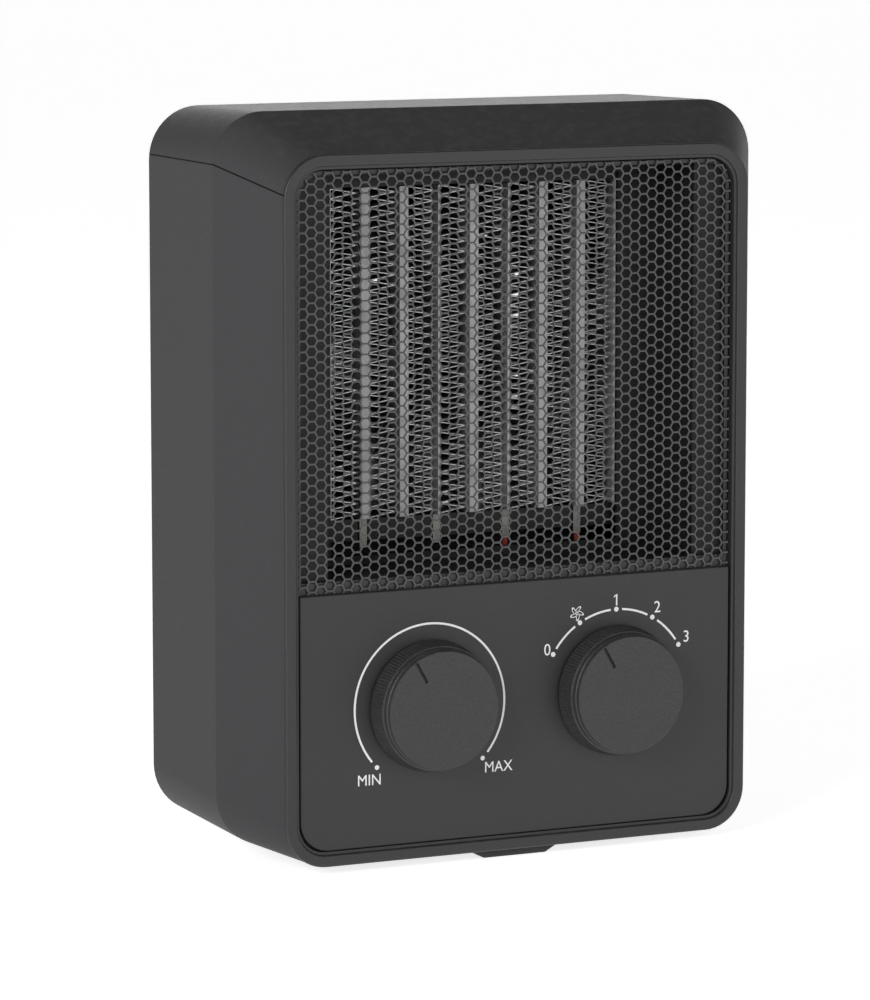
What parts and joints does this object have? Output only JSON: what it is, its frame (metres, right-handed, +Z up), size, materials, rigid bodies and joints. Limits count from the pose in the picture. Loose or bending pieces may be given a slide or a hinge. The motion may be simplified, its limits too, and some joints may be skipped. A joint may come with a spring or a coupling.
{
  "type": "ceramic space heater",
  "caption": "Small upright fan heater with a black plastic case, a mesh front over a PTC ceramic element, two rotary knobs, an axial fan and a tip-over switch.",
  "frame": {"origin": "on the table under the middle of the whole heater, knobs included", "axes": "+Z up; the mesh front and the knobs face -Y; +X is to the right for someone facing the front"},
  "size_m": [0.2, 0.118, 0.252],
  "materials": {
    "shell_plastic": "fine moulded grain, near-black charcoal",
    "frame_plastic": "fine moulded grain, near-black charcoal",
    "panel_plastic": "fine moulded grain, near-black charcoal",
    "knob_plastic": "fine moulded grain, near-black",
    "grille_paint": "semi-gloss black stove enamel on steel",
    "print_ink": "white pad print",
    "duct_plastic": "dark grey heat-resistant plastic",
    "black_resin": "black glass-filled resin",
    "cream_ceramic": "unglazed steatite",
    "ptc_ceramic": "grey barium titanate",
    "aluminium": "mill finish",
    "brass": "plain",
    "tinned_brass": "tinned",
    "bronze": "sintered bronze",
    "steel": "zinc plated",
    "lamination": "stacked laminations",
    "copper_winding": "taped enamelled copper",
    "fan_plastic": "moulded, satin",
    "rubber": "matt",
    "wire_brown": "PVC",
    "wire_blue": "PVC",
    "wire_red": "silicone",
    "wire_white": "silicone"
  },
  "bodies": {
    "root": {"main_shell": "shell_plastic", "front_frame": "frame_plastic", "grille": "grille_paint", "control_panel": "panel_plastic", "dial_markings": "print_ink", "thermostat_body": "cream_ceramic", "thermostat_nut": "steel", "thermostat_bimetal": "bronze", "thermostat_terminals": "brass", "switch_body": "black_resin", "switch_nut": "steel", "switch_terminals": "brass", "inner_duct": "duct_plastic", "element_frame_top": "black_resin", "element_frame_bottom": "black_resin", "element_tubes": "aluminium", "ceramic_stones": "ptc_ceramic", "element_fins": "aluminium", "element_plates": "aluminium", "element_terminals": "tinned_brass", "thermal_cutout": "steel", "thermal_fuse": "cream_ceramic", "fan_shroud": "duct_plastic", "motor_spider": "duct_plastic", "motor_stator": "lamination", "motor_coil": "copper_winding", "motor_bracket_front": "aluminium", "motor_bracket_rear": "aluminium", "motor_bearings": "bronze", "motor_screws": "steel", "rear_cover": "shell_plastic", "cover_screws": "steel", "cord_gland": "rubber", "cord_clamp": "cream_ceramic", "clamp_screws": "steel", "terminal_block": "cream_ceramic", "terminal_screws": "brass", "tip_switch_body": "black_resin", "tip_spring": "steel", "front_foot": "shell_plastic", "rubber_feet": "rubber", "live_wire": "wire_brown", "neutral_wire": "wire_blue", "low_heat_wire": "wire_red", "high_heat_wire": "wire_red", "motor_wire": "wire_white"},
    "thermostat_dial": {"thermostat_knob": "knob_plastic", "thermostat_shaft": "steel"},
    "mode_dial": {"mode_knob": "knob_plastic", "mode_shaft": "steel"},
    "fan_rotor": {"fan_impeller": "fan_plastic", "motor_shaft": "steel", "motor_rotor": "lamination"},
    "tip_over_plunger": {"tip_plunger": "black_resin"}
  },
  "joints": [
    {"name": "thermostat_turn", "type": "hinge", "parent": "root", "child": "thermostat_dial", "pos_m": [-0.033, -0.049, 0.0544], "axis": [0, 1, 0], "range_deg": [-105, 165]},
    {"name": "mode_turn", "type": "hinge", "parent": "root", "child": "mode_dial", "pos_m": [0.0368, -0.049, 0.0544], "axis": [0, 1, 0], "range_deg": [-30, 90]},
    {"name": "fan_spin", "type": "hinge", "parent": "root", "child": "fan_rotor", "pos_m": [0, 0.017, 0.165], "axis": [0, 1, 0], "continuous": true},
    {"name": "tip_over_slide", "type": "slide", "parent": "root", "child": "tip_over_plunger", "axis": [0, 0, -1], "range_m": [0, 0.004], "stiffness_N_per_m": 60, "springref_m": 0.008, "deforming": ["tip_spring"]}
  ]
}
